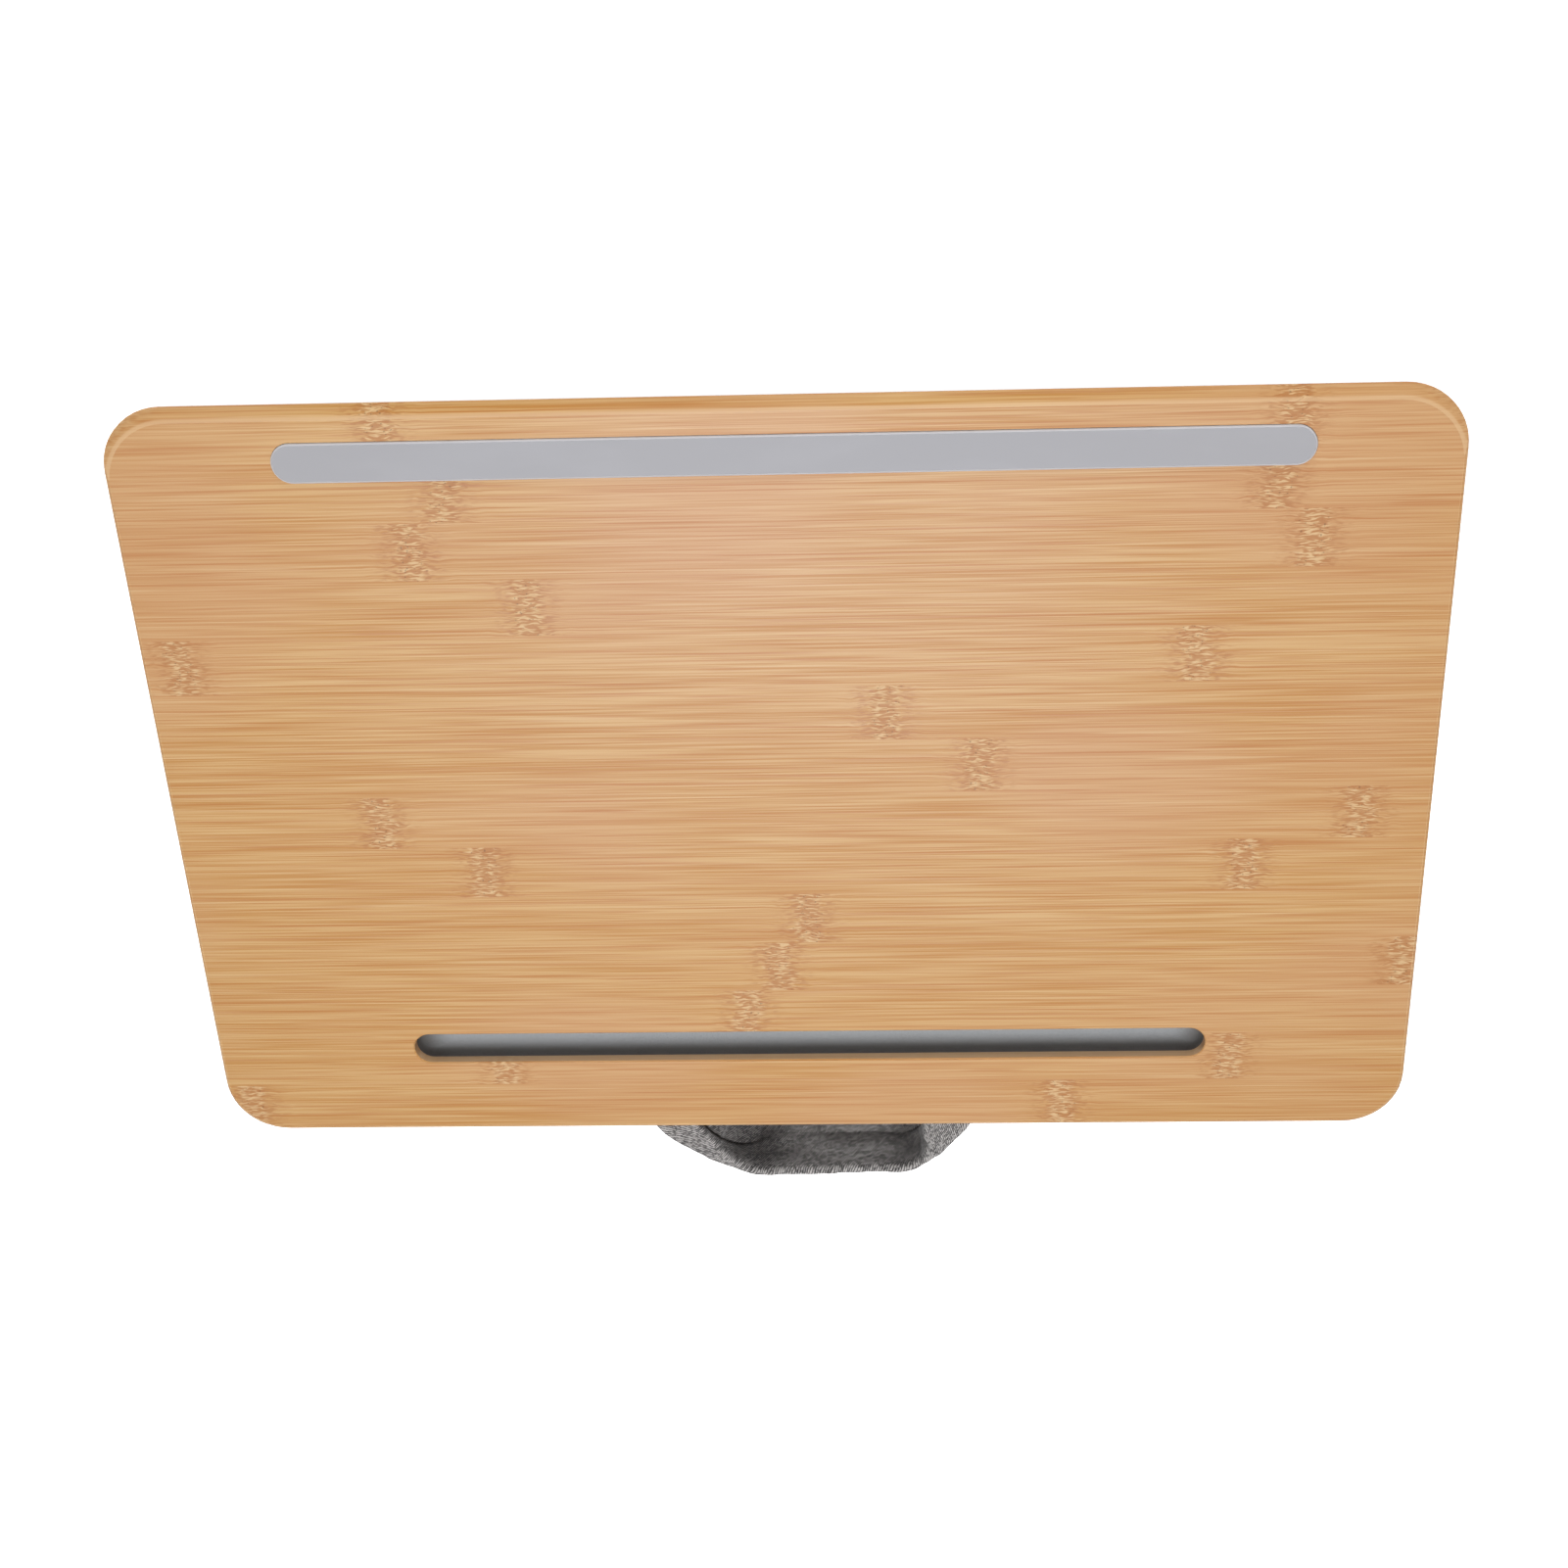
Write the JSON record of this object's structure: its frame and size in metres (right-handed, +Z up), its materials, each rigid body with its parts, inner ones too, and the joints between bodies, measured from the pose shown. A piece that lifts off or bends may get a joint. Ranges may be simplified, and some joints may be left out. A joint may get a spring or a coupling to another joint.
{
  "type": "lap desk",
  "caption": "Lap desk: a thin bamboo board with a grip bar and a device slot over a moulded trough, on a cushion of two padded rolls, with a swinging fabric carry handle.",
  "frame": {"origin": "middle of the underside of the whole outline, handle included, on the surface that the cushion rests on", "axes": "+X along the board, -Y towards the user, +Z up"},
  "size_m": [0.52, 0.3649, 0.067],
  "materials": {
    "bamboo": "satin lacquer",
    "silicone": "matte",
    "trough_plastic": "fine matte texture",
    "adhesive_tape": "matte",
    "hook_tape": "rows of small hooks",
    "loop_tape": "brushed loops",
    "panel_fabric": "plain weave",
    "melange_fabric": "salt and pepper knit",
    "fibre_filling": "loose fibre",
    "webbing": "woven webbing"
  },
  "bodies": {
    "desk": {"bamboo_board": "bamboo", "grip_bar": "silicone", "grip_bar_tape": "adhesive_tape", "device_trough": "trough_plastic", "trough_tape": "adhesive_tape", "hook_strips": "hook_tape", "loop_strips": "loop_tape", "top_panel": "panel_fabric", "center_web": "panel_fabric", "front_bolster": "melange_fabric", "rear_bolster": "melange_fabric", "front_filling": "fibre_filling", "rear_filling": "fibre_filling", "handle_anchors": "melange_fabric"},
    "handle": {"handle_cover": "melange_fabric", "handle_webbing": "webbing"}
  },
  "joints": [
    {"name": "handle_swing", "type": "hinge", "parent": "desk", "child": "handle", "pos_m": [0, 0.1335, 0.0592], "axis": [-1, 0, 0], "range_deg": [0, 45], "stiffness_Nm_per_rad": 0.03, "springref_deg": -5.73}
  ]
}
